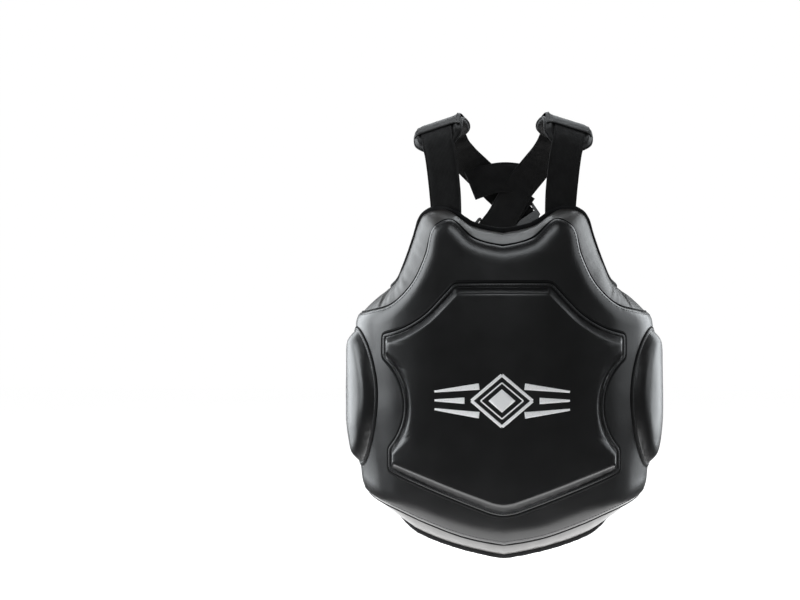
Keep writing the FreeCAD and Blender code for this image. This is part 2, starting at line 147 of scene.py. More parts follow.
def edge_distance(points, loop):
    """Distance from each point to a closed outline."""
    p = np.asarray(points, float).reshape(-1, 2)
    best = np.full(len(p), 1e9)
    for a, b in zip(loop, np.roll(loop, -1, 0)):
        line = b - a
        size = float(line @ line)
        if size < 1e-9:
            continue
        t = np.clip((p - a) @ line / size, 0, 1)
        best = np.minimum(best, np.linalg.norm(p - a - t[:, None] * line, axis=1))
    return best.reshape(np.shape(points)[:-1])


def smoothstep(a, b, x):
    """0 up to a, 1 from b on, and a smooth rise between them."""
    t = np.clip((x - a) / (b - a), 0, 1)
    return t * t * (3 - 2 * t)


def ripple(points, seed, wavelength):
    """Soft irregular field from -1 to 1, the same each run."""
    rng = np.random.default_rng(seed)
    p = np.asarray(points, float)
    total = np.zeros(p.shape[:-1])
    for _ in range(14):
        k = rng.normal(size=p.shape[-1])
        k *= 2 * math.pi / (wavelength * rng.uniform(0.6, 1.8)) / np.linalg.norm(k)
        total += np.sin(p @ k + rng.uniform(0, 2 * math.pi))
    return total / 5.0


# ---- mesh building
def new_object(name, data):
    obj = bpy.data.objects.new(name, data)
    bpy.context.scene.collection.objects.link(obj)
    return obj


def make_object(name, points, faces, uvs=None):
    """Smooth mesh object from points in millimetres."""
    mesh = bpy.data.meshes.new(name)
    mesh.from_pydata((np.asarray(points, float) * MM).tolist(), [], faces)
    if uvs is not None:
        layer = mesh.uv_layers.new(name="UVMap")
        corner = np.zeros(len(mesh.loops), int)
        mesh.loops.foreach_get("vertex_index", corner)
        layer.data.foreach_set("uv", (np.asarray(uvs, float)[corner] * MM).ravel())
    mesh.validate()
    for polygon in mesh.polygons:
        polygon.use_smooth = True
    return new_object(name, mesh)


def fix_normals(obj):
    """Merges doubled points and turns all faces outwards."""
    bm = bmesh.new()
    bm.from_mesh(obj.data)
    bmesh.ops.remove_doubles(bm, verts=bm.verts, dist=1e-6)
    bmesh.ops.recalc_face_normals(bm, faces=bm.faces)
    bm.to_mesh(obj.data)
    bm.free()


def grid_faces(rows, columns, wrap=False, base=0, closed=False):
    """Faces of a grid of points; wrap joins its columns round, and closed its rows."""
    faces = []
    for r in range(rows if closed else rows - 1):
        this, following = base + r * columns, base + (r + 1) % rows * columns
        for c in range(columns if wrap else columns - 1):
            d = (c + 1) % columns
            faces.append((this + c, this + d, following + d, following + c))
    return faces


def sheet_solid(name, front, back, uv=None):
    """Closed thin solid between two grids of points."""
    rows, columns = front.shape[:2]
    count = rows * columns
    faces = grid_faces(rows, columns)
    faces += [tuple(reversed([i + count for i in f])) for f in faces]
    rim = [(0, c) for c in range(columns)] + [(r, columns - 1) for r in range(1, rows)]
    rim += [(rows - 1, c) for c in range(columns - 2, -1, -1)] + [(r, 0) for r in range(rows - 2, 0, -1)]
    index = [r * columns + c for r, c in rim]
    for a, b in zip(index, index[1:] + index[:1]):
        faces.append((b, a, a + count, b + count))
    points = np.concatenate([front.reshape(-1, 3), back.reshape(-1, 3)])
    uvs = None if uv is None else np.concatenate([uv.reshape(-1, 2)] * 2)
    obj = make_object(name, points, faces, uvs)
    fix_normals(obj)
    return obj


def tube_band(name, rings, uv=None, closed=True):
    """Surface through rings of points; a closed band joins its last ring to its first."""
    count, size = rings.shape[:2]
    faces = grid_faces(count, size, wrap=True, closed=closed)
    if not closed:
        faces.append(tuple(range(size)))
        faces.append(tuple(reversed(range((count - 1) * size, count * size))))
    uvs = None if uv is None else uv.reshape(-1, 2)
    obj = make_object(name, rings.reshape(-1, 3), faces, uvs)
    fix_normals(obj)
    return obj


def pillow(name, loop, centre, place, outer, inner, edge_steps, middle_steps=14):
    """Closed form over an outline: rings run from the outline to the centre, above and below."""
    loop, centre = np.asarray(loop, float), np.asarray(centre, float)
    reach = np.linalg.norm(loop - centre, axis=1)
    rings = []
    for step in edge_steps:
        rings.append(centre + (loop - centre) * ((reach - step) / reach)[:, None])
    inner_ring = rings[-1]
    for k in range(1, middle_steps):
        rings.append(centre + (inner_ring - centre) * (1 - k / middle_steps))
    flat = np.stack(rings)
    distance = edge_distance(flat, loop)
    count, size = distance.shape
    above = place(flat[..., 0], flat[..., 1], outer(distance, flat))
    below = place(flat[..., 0], flat[..., 1], inner(distance, flat))
    below[0] = above[0]
    tip_d = edge_distance(centre[None], loop)
    tips = [place(centre[None, 0], centre[None, 1], f(tip_d, centre[None])) for f in (outer, inner)]
    points = np.concatenate([above.reshape(-1, 3), below.reshape(-1, 3)] + tips)
    faces = grid_faces(count, size, wrap=True)
    under = grid_faces(count, size, wrap=True, base=count * size)
    faces += [tuple(reversed(f)) for f in under]
    top_tip, low_tip = 2 * count * size, 2 * count * size + 1
    last = (count - 1) * size
    for c in range(size):
        d = (c + 1) % size
        faces.append((last + c, last + d, top_tip))
        faces.append((count * size + last + d, count * size + last + c, low_tip))
    uvs = np.concatenate([flat.reshape(-1, 2), flat.reshape(-1, 2), centre[None], centre[None]])
    obj = make_object(name, points, faces, uvs)
    fix_normals(obj)
    return obj


# Sections of one stitch: place along it and thickness, as shares of its length and width.
STITCH_SECTIONS = [(-0.5, 0.2), (-0.3, 0.85), (0.3, 0.85), (0.5, 0.2)]
STITCH_SIDES = 6
STITCH_LIFT = 0.3       # height of a stitch's middle, as a share of its height


def stitch_row(name, path, normals, spacing=4.6, length=3.2, width=0.95, height=0.55):
    """Row of sewing-machine stitches along a closed or open path of points."""
    step = np.linalg.norm(np.diff(path, axis=0), axis=1)
    along = distances(path)
    points, faces = [], []
    for i in range(int(along[-1] / spacing)):
        at = (i + 0.5) * spacing
        k = min(int(np.searchsorted(along, at)), len(path) - 1)
        k = max(k, 1)
        f = (at - along[k - 1]) / max(step[k - 1], 1e-9)
        centre = path[k - 1] + (path[k] - path[k - 1]) * f
        direction = (path[k] - path[k - 1]) / max(step[k - 1], 1e-9)
        up = normals[k] / np.linalg.norm(normals[k])
        side = np.cross(up, direction)
        base = len(points)
        for t, size in STITCH_SECTIONS:
            for a in range(STITCH_SIDES):
                angle = 2 * math.pi * a / STITCH_SIDES
                lift = height * size * math.sin(angle) + height * STITCH_LIFT
                reach = width / 2 * size * math.cos(angle)
                points.append(centre + direction * (t * length) + side * reach + up * lift)
        faces += grid_faces(len(STITCH_SECTIONS), STITCH_SIDES, wrap=True, base=base)
        faces.append(tuple(range(base, base + STITCH_SIDES)))
        faces.append(tuple(reversed(range(len(points) - STITCH_SIDES, len(points)))))
    obj = make_object(name, np.array(points), faces)
    fix_normals(obj)
    return obj


# ---- materials
class Finish:
    """A material and the short way to add nodes to it."""

    def __init__(self, name, colour, roughness, **sockets):
        self.material = bpy.data.materials.new(name)
        self.material.use_nodes = True
        self.tree = self.material.node_tree
        self.shader = self.tree.nodes["Principled BSDF"]
        self.shader.inputs["Base Color"].default_value = (*colour, 1)
        self.shader.inputs["Roughness"].default_value = roughness
        for socket, value in sockets.items():
            self.shader.inputs[socket.replace("_", " ")].default_value = value

    def node(self, kind, links=None, **values):
        made = self.tree.nodes.new("ShaderNode" + kind)
        for key, value in values.items():
            if hasattr(made, key):
                setattr(made, key, value)
            else:
                made.inputs[key.replace("_", " ")].default_value = value
        for socket, source in (links or {}).items():
            self.tree.links.new(source, made.inputs[socket])
        return made

    def coordinates(self, kind="Object"):
        return self.node("TexCoord").outputs[kind]

    def noise(self, scale, detail=3.0, where=None):
        links = {"Vector": where or self.coordinates()}
        return self.node("TexNoise", links, Scale=scale, Detail=detail).outputs["Fac"]

    def ramp(self, source, low, high, start=0.3, end=0.7):
        """Grey or colour scale from low to high over a stretch of a 0 to 1 value."""
        made = self.node("ValToRGB", {"Fac": source})
        for element, place, value in zip(made.color_ramp.elements, (start, end), (low, high)):
            element.position = place
            element.color = value if isinstance(value, tuple) else (value, value, value, 1)
        return made.outputs["Color"]

    def bump(self, height, distance, strength=1.0, under=None):
        links = {"Height": height}
        if under is not None:
            links["Normal"] = under
        return self.node("Bump", links, Distance=distance * MM, Strength=strength).outputs["Normal"]

    def set(self, socket, source):
        self.tree.links.new(source, self.shader.inputs[socket])

    def tint(self, colour, spread, source, *stretch):
        """Base colour between a darker and a lighter version of a colour."""
        dark, light = ((*[c * k for c in colour], 1) for k in (1 - spread, 1 + spread))
        self.set("Base Color", self.ramp(source, dark, light, *stretch))


def leather(name, colour, roughness, crease=0.5, **sockets):
    """Coated leather cloth: fine pebbled grain, soft creases and patchy shine."""
    f = Finish(name, colour, roughness, **sockets)
    where = f.coordinates()
    cells = f.node("TexVoronoi", {"Vector": where}, feature="SMOOTH_F1", Scale=760.0, Smoothness=0.6)
    fine = f.noise(2600.0, 2.0, where)
    normal = f.bump(cells.outputs["Distance"], 0.10, 0.55)
    normal = f.bump(fine, 0.05, 0.5, normal)
    normal = f.bump(f.noise(46.0, 4.0, where), crease, 0.6, normal)
    f.set("Normal", normal)
    f.tint(colour, 0.22, f.noise(18.0, 5.0, where))
    f.set("Roughness", f.ramp(f.noise(34.0, 2.0, where), roughness - 0.04, roughness + 0.06, 0.1, 0.9))
    return f.material


WAVE_PITCH = 2 * math.pi * 1000 / 20      # the scale of a wave texture whose pitch is 1 mm


def weave(name, colour, roughness, across, along, depth, twill, **sockets):
    """Woven cloth from two crossed wave patterns; sizes are the thread pitch in millimetres."""
    f = Finish(name, colour, roughness, **sockets)
    where = f.coordinates("UV")
    skew = f.node("Mapping", {"Vector": where}, Rotation=(0, 0, twill)).outputs["Vector"]

    def threads(direction, pitch):
        return f.node("TexWave", {"Vector": skew}, bands_direction=direction, Scale=WAVE_PITCH / pitch,
                      Distortion=0.6, Detail=1.0).outputs["Fac"]

    crossed = {0: threads("X", across), 1: threads("Y", along)}
    mixed = f.node("Math", crossed, operation="MULTIPLY").outputs["Value"]
    normal = f.bump(mixed, depth, 0.8)
    f.set("Normal", f.bump(f.noise(500.0, 2.0, where), 0.12, 0.4, normal))
    f.tint(colour, 0.45, mixed, 0.05, 0.6)
    f.set("Roughness", f.ramp(f.noise(60.0, 4.0, where), roughness - 0.08, roughness + 0.08))
    return f.material


def moulded(name, colour, roughness, **sockets):
    """Injection moulded plastic: spark texture, faint flow shading and scuffs."""
    f = Finish(name, colour, roughness, **sockets)
    where = f.coordinates()
    normal = f.bump(f.noise(1600.0, 1.0, where), 0.02, 0.35)
    f.set("Normal", f.bump(f.noise(130.0, 2.0, where), 0.08, 0.3, normal))
    f.tint(colour, 0.2, f.noise(45.0, 4.0, where))
    f.set("Roughness", f.ramp(f.noise(240.0, 2.0, where), roughness - 0.03, roughness + 0.05, 0.1, 0.9))
    return f.material


def printed(name, shade, wear=0.62):
    """Screen print: slightly uneven ink with fine wear at the grain."""
    f = Finish(name, (shade,) * 3, 0.5)
    where = f.coordinates()
    f.set("Base Color", f.ramp(f.noise(900.0, 6.0, where), shade * wear, shade, 0.3, 0.42))
    f.set("Normal", f.bump(f.noise(1500.0, 2.0, where), 0.05, 0.4))
    return f.material


def thread(name, colour):
    """Twisted sewing thread."""
    f = Finish(name, colour, 0.55)
    where = f.coordinates()
    f.set("Normal", f.bump(f.noise(2600.0, 2.0, where), 0.1, 0.6))
    f.tint(colour, 0.3, f.noise(400.0, 2.0, where))
    return f.material


FACE = leather("face_leather", (0.0042, 0.0042, 0.0046), 0.34, 0.45, Coat_Weight=0.2, Coat_Roughness=0.24)
SHIELD = leather("shield_leather", (0.0034, 0.0034, 0.0038), 0.32, 0.4, Coat_Weight=0.2, Coat_Roughness=0.22)
GUSSET = leather("gusset_leather", (0.0125, 0.0105, 0.0092), 0.42, 1.1, Coat_Weight=0.12,
                 Coat_Roughness=0.28)
PAD_LEATHER = leather("pad_leather", (0.005, 0.0048, 0.005), 0.54, 0.7, Specular_IOR_Level=0.35)
LINING = weave("lining_nylon", (0.0045, 0.0045, 0.005), 0.62, 0.8, 0.8, 0.12, 0.0, Specular_IOR_Level=0.2)
BINDING = weave("binding_tape", (0.004, 0.004, 0.0045), 0.72, 0.9, 0.9, 0.15, 0.6, Specular_IOR_Level=0.2)
WEBBING = weave("webbing", (0.0056, 0.0053, 0.0055), 0.68, 2.1, 1.3, 0.35, 0.0, Specular_IOR_Level=0.23)
PLASTIC = moulded("buckle_plastic", (0.0085, 0.0085, 0.009), 0.28)
THREAD = thread("seam_thread", (0.03, 0.03, 0.032))
PRINT = printed("white_print", 0.96)


def finish_piece(obj, material, body, *replaced, slot=None):
    """Material, body and CAD nodes of a piece; the slot argument is not used."""
    obj.data.materials.clear()
    obj.data.materials.append(material)
    own_slot = material.name.partition(".")[0]      # without the number of a name already in use
    slot or own_slot
    if body:
        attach(obj, body)
    if replaced:
        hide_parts(*replaced)
    return obj


def sew(name, path, up, slot, *sizes):
    """A row of stitches as a finished piece of the vest."""
    finish_piece(stitch_row(name, path, up, *sizes), THREAD, "vest", slot=slot)


# ---- the pad: face panel, gusset, binding and lining
OUTLINE_STEPS = span_counts(FACE_EDGE, BACK_EDGE, step=3.6)
face_loop = mirrored(hermite(FACE_EDGE, counts=OUTLINE_STEPS))
back_loop = mirrored(hermite(BACK_EDGE, counts=OUTLINE_STEPS))


def loop_normals(loop):
    """Directions that point out of a clockwise outline."""
    ahead = np.roll(loop, -1, 0) - np.roll(loop, 1, 0)
    ahead /= np.linalg.norm(ahead, axis=1)[:, None]
    return np.stack([-ahead[:, 1], ahead[:, 0]], -1)


def outward_normals(loop):
    """The same for an outline that runs either way round."""
    normal = loop_normals(loop)
    return normal if np.sum(normal * (loop - loop.mean(0))) > 0 else -normal


face_normals, back_normals = loop_normals(face_loop), loop_normals(back_loop)


def face_depth(flat):
    """Depth of the face panel's surface: round at its edge, faintly uneven elsewhere."""
    d = edge_distance(flat, face_loop)
    edge = 1 - np.clip(d / ROLL, 0, 1)
    depth = SEAM_DEPTH * (1 - np.sqrt(np.maximum(1 - edge ** 2, 0)))
    pucker = ripple(flat, 5, 11.0) * 0.35 * np.exp(-d / 6) * smoothstep(0, 1.5, d)
    return depth + pucker + ripple(flat, 6, 95.0) * 0.35 * smoothstep(4, 30, d)


EDGE_ROWS = [0, 0.5, 1.2, 2.2, 3.6, 5.4, 7.6, 10.4, 14, 18.5, 24]
END_REACH, LEAST_COLUMN = 0.3, 0.45


def panel_grid(loop, columns_step=4.0, middle_rows=72):
    """Grid of (s, z) in upright columns between the top and bottom of a symmetric outline."""
    half = loop[loop[:, 0] >= 0]
    end = half[:, 0].max()
    at_end = np.flatnonzero(half[:, 0] > end - END_REACH)
    top, bottom = half[:at_end[0] + 1], half[at_end[-1]:][::-1]
    stops = list(np.arange(0, end - EDGE_ROWS[-1], columns_step)) + [end - d for d in reversed(EDGE_ROWS)]
    columns = np.unique(np.concatenate([stops, top[:, 0]]))
    columns = columns[np.concatenate([[True], np.diff(columns) > LEAST_COLUMN])]
    columns[-1] = end
    s = np.concatenate([-columns[:0:-1], columns])
    upper, lower = np.interp(np.abs(s), *top.T), np.interp(np.abs(s), *bottom.T)
    edge = np.array(EDGE_ROWS)[:, None]
    share = (np.arange(1, middle_rows) / middle_rows)[:, None]
    low, high = lower + EDGE_ROWS[-1], upper - EDGE_ROWS[-1]
    z = np.concatenate([lower + edge, low + (high - low) * share, (upper - edge)[::-1]])
    return np.stack([np.broadcast_to(s, z.shape), z], -1)


COVER_SKIN, COVER_SHRINK = 1.4, 0.997


def make_face_cover():
    """Outer panel of the pad, over the front foam."""
    grid = panel_grid(face_loop)
    depth = face_depth(grid)
    back = on_pad(grid * COVER_SHRINK + (0, 0.1), depth + COVER_SKIN)
    cover = sheet_solid("outer_face_cover_soft", on_pad(grid, depth), back, grid)
    finish_piece(cover, FACE, "vest", "outer_face_cover", "front_foam_layer")


STRAP_SEATS = ((-30, 30), (82, 140))      # heights at which straps hold the wings' ends flat
SEAT_FADE = 16.0
GUSSET_DEPTHS = np.array([0, 0.05, 0.12, 0.22, 0.34, 0.48, 0.62, 0.75, 0.86, 0.94, 1.0])
GUSSET_BULGE, GUSSET_SKIN = 3.6, 1.2


def make_gusset():
    """Side wall of the pad, sewn between the face panel and the binding."""
    start = face_loop - face_normals * 1.6
    end = back_loop - back_normals * 4.2
    arc = distances(face_loop)
    pinch = ripple(np.stack([arc, arc * 0.3], -1), 21, 24.0)
    pinch = pinch + 0.6 * ripple(np.stack([arc, arc * 0.2], -1), 22, 9.0)
    reach, height = np.abs(face_loop[:, 0]), face_loop[:, 1]
    armhole = smoothstep(105, 135, reach) * (1 - smoothstep(215, 300, reach)) * (height > 100)
    held = smoothstep(335, 352, reach) * np.maximum(*[
        smoothstep(low - SEAT_FADE, low, height) * (1 - smoothstep(high, high + SEAT_FADE, height))
        for low, high in STRAP_SEATS])
    bulge = (GUSSET_BULGE * (1 - held))[:, None]
    amount = ((0.35 + 1.3 * armhole) * (1 - held))[:, None]
    rings = []
    for side in (0.0, GUSSET_SKIN):
        t = GUSSET_DEPTHS if side == 0 else GUSSET_DEPTHS[::-1]
        share = t[None, :, None]
        middle = np.sin(np.pi * t[None]) ** 0.55
        normal = face_normals[:, None] * (1 - share) + back_normals[:, None] * share
        lift = bulge * middle * (1 - 0.5 * smoothstep(0.6, 1.0, t[None])) - side
        lift = lift + pinch[:, None] * amount * np.sin(np.pi * t[None]) ** 0.8
        plane = start[:, None] * (1 - share) + end[:, None] * share + normal * lift[..., None]
        rings.append(on_pad(plane, SEAM_DEPTH - 1 + (PAD_T - SEAM_DEPTH) * t[None]))
    gusset = tube_band("edge_gusset_soft", np.concatenate(rings, 1))
    finish_piece(gusset, GUSSET, "vest", "edge_gusset", "rear_foam_layer")


def full_turn(sides):
    return np.arange(sides) / sides * 2 * math.pi


def squarish(wave):
    """A sine or cosine flattened towards a square."""
    return np.sign(wave) * np.abs(wave) ** 0.6


CORNER_ROUNDING = 12    # smoothing passes over a seam's outline


def make_binding():
    """Folded tape over the raw edges of gusset and lining."""
    angles = full_turn(14)
    across = squarish(np.cos(angles)) * 4.2
    deep = squarish(np.sin(angles)) * 2.4
    rounded = soften(back_loop, CORNER_ROUNDING)
    normals = loop_normals(rounded)
    path = rounded - normals * 1.8
    wobble = ripple(path, 31, 16.0)[:, None] * 0.25
    plane = path[:, None] + normals[:, None] * (across[None, :, None] + wobble[..., None])
    rings = on_pad(plane, PAD_T + 0.7 + deep[None])
    uv = np.stack(np.broadcast_arrays(angles[None] * 2.7, distances(path)[:, None]), -1)
    binding = tube_band("edge_binding_tape", rings, uv)
    finish_piece(binding, BINDING, "vest", "edge_binding")


def make_lining():
    """Cloth over the back of the rear foam."""
    grid = panel_grid(back_loop - back_normals * 3.4, 6.0, 60)
    sag = ripple(grid, 41, 70.0) * 0.7
    back = on_pad(grid, PAD_T + 1.7 + sag)
    lining = sheet_solid("back_lining_cloth", on_pad(grid, PAD_T - 0.2), back, grid)
    finish_piece(lining, LINING, "vest", "back_lining")


# ---- raised panels
def resample(loop, step):
    """Evenly spaced points round a closed outline."""
    closed = np.concatenate([loop, loop[:1]])
    along = distances(closed)
    return rows_at(np.linspace(0, along[-1], int(along[-1] / step), endpoint=False), along, closed)


def soften(loop, times):
    """Closed outline with its corners rounded by repeated averaging."""
    for _ in range(times):
        loop = loop * 0.5 + (np.roll(loop, 1, 0) + np.roll(loop, -1, 0)) * 0.25
    return loop


def arc_through(a, b, c, steps=24):
    """Points of the circle arc from a to c through b."""
    a, b, c = (np.array(p, float) for p in (a, b, c))
    rows = np.array([b - a, c - a])
    centre = np.linalg.solve(rows, [(b @ b - a @ a) / 2, (c @ c - a @ a) / 2])
    start, middle, end = (math.atan2(*(p - centre)[::-1]) for p in (a, b, c))
    turn = (end - start) % (2 * math.pi)
    if (middle - start) % (2 * math.pi) > turn:
        turn -= 2 * math.pi
    angles = start + turn * np.arange(steps + 1) / steps
    radius = np.linalg.norm(a - centre)
    return [tuple(centre + radius * np.array([math.cos(t), math.sin(t)])) for t in angles]


def shield_outline():
    shoulder = [(72.6, 207), (95.3, 183), (118.6, 161), (152.3, 142), (194.8, 131)]
    side = arc_through((194.8, 95), (154.6, 27), (183.6, -41))
    foot = [(183.6, -75), (18, -135), (0, -138)]
    right = np.concatenate([[(0, 207)], hermite(shoulder, 4), side, foot])
    return soften(resample(mirrored(right), 3.0), 3)


def disc_outline(side):
    turn = np.linspace(0, 2 * math.pi, 190, endpoint=False)
    return np.stack([side * (DISC_S + DISC_A * np.sin(turn)), DISC_Z + DISC_B * np.cos(turn)], -1)


def rise_profile(points):
    """Height of a raised panel against the distance from its edge."""
    table = hermite(points, 0.3)
    return lambda d: np.interp(d, table[:, 0], table[:, 1])


SHIELD_SEED = 51      # of the shield's unevenness, which its print follows
shield_rise = rise_profile([
    (0, -1.0), (0.6, 0.9), (1.5, 2.0), (3.4, 2.2), (5.4, 2.0), (6.3, 1.0), (7.2, 1.9), (9.5, 4.4), (13, 8.6),
    (16, 11.9), (17.2, 12.8), (18.4, 13.1), (22, 13.2), (30, 13.4), (45, 13.7), (140, 14.2)])
disc_rise = rise_profile([
    (0, -1.0), (0.6, 1.1), (1.5, 2.0), (3.2, 2.1), (4.4, 1.3), (5.4, 2.4), (8, 5.0), (13, 9.6), (18, 12.9),
    (21.5, 14.1), (26, 14.6), (40, 15.0), (80, 15.2)])
PANEL_STEPS = [0, 0.3, 0.7, 1.1, 1.7, 2.6, 3.6, 4.6, 5.3, 5.9, 6.4, 7.0, 7.8, 8.9, 10.2, 11.6, 12.7, 14,
               15.2, 16.2, 17.0, 17.8, 18.8, 20.5, 24, 29]


def panel_height(rise, d, flat, seed):
    """Height of a raised panel, puckered beside its stitches and faintly uneven elsewhere."""
    pucker = ripple(flat, seed, 8.0) * 0.3 * np.exp(-np.abs(d - 7) / 3.5)
    return rise(d) + pucker + ripple(flat, seed + 1, 80.0) * 0.4 * smoothstep(8, 35, d)


def panel_base(flat, follow_edge):
    """Depth of the face below a raised panel."""
    return face_depth(flat) if follow_edge else np.zeros(flat.shape[:-1])


PANEL_SKIN = 0.9


def raised_panel(name, loop, centre, rise, seed, material, follow_edge, *replaced):
    """Foam-filled panel sewn flat at its edge on to the face of the pad."""
    def outer(d, flat):
        return panel_base(flat, follow_edge) - panel_height(rise, d, flat, seed)

    def inner(d, flat):
        return panel_base(flat, follow_edge) + PANEL_SKIN

    panel = pillow(name, loop, centre, pad_point, outer, inner, PANEL_STEPS, 15)
    finish_piece(panel, material, "vest", *replaced, slot="face_leather")


def inset_path(loop, distance, height, follow_edge=False):
    """Points and normals on the pad along an outline moved inwards, for a row of stitches."""
    moved = loop - outward_normals(loop) * distance
    moved = np.concatenate([moved, moved[:1]])
    depth = panel_base(moved, follow_edge) - height
    points = on_pad(moved, depth)
    return points, on_pad(moved, depth - 1) - points


def seam_shade_tape(name, loop, radius, depth, tall=1.0):
    """Dull dark tape folded into a seam, and partly painted shade: it stands in for the dark groove of the
    seam; loop is closed and depth is where its middle lies.
    """
    around = full_turn(8)
    plane = loop[:, None] + loop_normals(loop)[:, None] * (np.cos(around) * radius)[None, :, None]
    middle = np.broadcast_to(depth, len(loop))[:, None]
    rings = on_pad(plane, middle - np.sin(around)[None] * radius * tall)
    finish_piece(tube_band(name, rings), BINDING, "vest")


def make_shield(loop):
    """Large pad on the front of the chest."""
    # Dark tape round the shield's edge, partly painted shade of the seam's groove.
    seam_shade_tape("shield_seam_shade_tape", loop + loop_normals(loop) * 1.2, 2.9, 0.2, 0.7)
    raised_panel("shield_cover_soft", loop, (0, 35), shield_rise, SHIELD_SEED, SHIELD, False,
                 "shield_cover", "shield_foam")
    sew("shield_stitches", *inset_path(loop, 3.4, 2.15), "face_leather")


def make_disc(side, word):
    """Round pad on the side of the chest."""
    loop = disc_outline(side)
    # Dark tape round the disc's edge, partly painted shade of the seam's groove.
    seam_shade_tape("side_disc_seam_shade_tape_" + word, loop, 1.9, face_depth(loop))
    raised_panel("side_disc_cover_soft_" + word, loop, (side * DISC_S, DISC_Z), disc_rise, 61 + side, FACE,
                 True, "side_disc_cover_" + word, "side_disc_foam_" + word)
    sew("side_disc_stitches_" + word, *inset_path(loop, 2.6, 2.05, True), "face_leather")


def make_face_stitches():
    """Tape, partly painted shade of the seam's groove, and top stitching at the face panel's seam."""
    rounded = soften(face_loop, CORNER_ROUNDING)
    seam_shade_tape("face_seam_shade_tape", rounded + loop_normals(rounded) * 0.3, 1.7, SEAM_DEPTH - 0.6)
    sew("face_edge_stitches", *inset_path(face_loop, 5.0, 0.0, True), "face_leather", 5.2, 3.6)


make_face_cover()
make_gusset()
make_binding()
make_lining()
shield_loop = shield_outline()
make_shield(shield_loop)
make_disc(1, "left")
make_disc(-1, "right")
make_face_stitches()


# ---- printed emblem
def join(name, pieces):
    """One object from several."""
    bm = bmesh.new()
    for piece in pieces:
        bm.from_mesh(piece.data)
        bpy.data.objects.remove(piece)
    mesh = bpy.data.meshes.new(name)
    bm.to_mesh(mesh)
    bm.free()
    return new_object(name, mesh)


INK_STEP, INK_LANES, INK_HEIGHT = 2.5, 7, 0.16


def ink_stroke(path, widths, loop):
    """Thin film of ink on the shield, along a straight path in (s, z)."""
    path = np.array(path, float)
    along = distances(path)
    at = np.unique(np.concatenate([np.linspace(0, along[-1], int(along[-1] / INK_STEP) + 2), along]))
    centre = rows_at(at, along, path)
    width = np.interp(at, along, widths)
    ahead = path[-1] - path[0]
    side = np.array([-ahead[1], ahead[0]]) / np.linalg.norm(ahead)
    lanes = np.linspace(-0.5, 0.5, INK_LANES)[None, :, None]
    flat = centre[:, None] + side * lanes * width[:, None, None]
    d = edge_distance(flat, loop)
    height = panel_height(shield_rise, d, flat, SHIELD_SEED)
    return sheet_solid("ink", on_pad(flat, -height - INK_HEIGHT), on_pad(flat, -height + 0.5))


EMBLEM_X, EMBLEM_Z = -2.0, 33.0
LOZENGES = ((43, 38, 4.6), (30, 26.5, 2.0))         # half width, half height, line width
CORE_HALF_H, CORE_W = 17, 38
BARS = ((21, 32), (0, 53), (-21, 32))               # height and distance of each bar's inner end
BAR_END, BAR_FAN, BAR_WIDTHS = 97, 0.62, (9.5, 3.0)


def make_emblem(loop):
    """Plain geometric mark: two nested lozenges between tapered bars."""
    def stroke(points, widths):
        return ink_stroke([(EMBLEM_X + x, EMBLEM_Z + z) for x, z in points], widths, loop)

    strokes = []
    for half_w, half_h, width in LOZENGES:
        corners = [(0, half_h), (half_w, 0), (0, -half_h), (-half_w, 0)]
        strokes += [stroke(ends, [width, width]) for ends in zip(corners, corners[1:] + corners[:1])]
    strokes.append(stroke([(0, -CORE_HALF_H), (0, 0), (0, CORE_HALF_H)], [0.6, CORE_W, 0.6]))
    for side in (-1, 1):
        for lift, inner in BARS:
            strokes.append(stroke([(side * inner, lift), (side * BAR_END, lift * BAR_FAN)], BAR_WIDTHS))
    finish_piece(join("shield_emblem", strokes), PRINT, "vest", slot="face_leather")


# ---- webbing, along the same routes as the CAD straps
WEB_W, WEB_T = 50.0, 2.0
LOOP_R, BAR_U, BAR_W, PLUG_BAR_U = 3.5, -35.0, -0.5, 36.0     # loops round the buckles' bars
UP = np.array([0.0, 0.0, 1.0])


def vec(*v):
    return np.array(v, float)


def unit(v):
    return v / np.linalg.norm(v)


def buckle_frame(origin, along, out):
    """Origin and axes of a buckle: along its pull, across the webbing and outwards."""
    x = unit(along)
    z = unit(out - x * (out @ x))
    return origin, x, np.cross(z, x), z


WAIST_R, WAIST_CY, WAIST_TURN = 297.0, 112.0 - 297.0, math.radians(-14)
waist_out = vec(math.sin(WAIST_TURN), math.cos(WAIST_TURN), 0)
BUCKLES = {
    "waist": buckle_frame(waist_out * WAIST_R + (0, WAIST_CY + 2, 0),
                          vec(waist_out[1], -waist_out[0], 0), waist_out),
    "back_left": buckle_frame(vec(47, 126, 296), vec(0.55, -0.10, -0.83), vec(0, 1, 0)),
    "back_right": buckle_frame(vec(-43, 117.5, 270), vec(-0.61, -0.08, -0.79), vec(0, 1, 0)),
}


def at(buckle, u, v, w):
    """Point in a buckle's own frame."""
    origin, x, y, z = BUCKLES[buckle]
    return origin + x * u + y * v + z * w


def across_of(buckle):
    return BUCKLES[buckle][2]


def half_turn(bar_u, bar_w, start, end, side):
    """Way of the webbing round a bar, from one angle to another."""
    angles = [math.radians(a) for a in range(start, end, 30)]
    return [(bar_u + side * LOOP_R * math.cos(a), bar_w + LOOP_R * math.sin(a)) for a in angles]


def ladder_loop(buckle):
    """Webbing into a socket's ladder, round its bar and out again on the outer side."""
    route = [(-62, -5.4), (-50, -4.8), (BAR_U - 4, -4)] + half_turn(BAR_U, BAR_W, -90, 91, 1)
    route += [(-40.5, 0.8), (-46, -1.2), (-52, -1.8)]
    return [(at(buckle, u, 0, w), across_of(buckle)) for u, w in route]


def plug_loop(buckle):
    """Webbing sewn back on itself round the bar of a plug, from its cut end outwards."""
    route = [(74, -3.6), (56, -3.6), (PLUG_BAR_U, -LOOP_R)] + half_turn(PLUG_BAR_U, 0, -60, 91, -1)
    route += [(48, 1.6), (58, -0.6)]
    return [(at(buckle, u, 0, w), across_of(buckle)) for u, w in route]


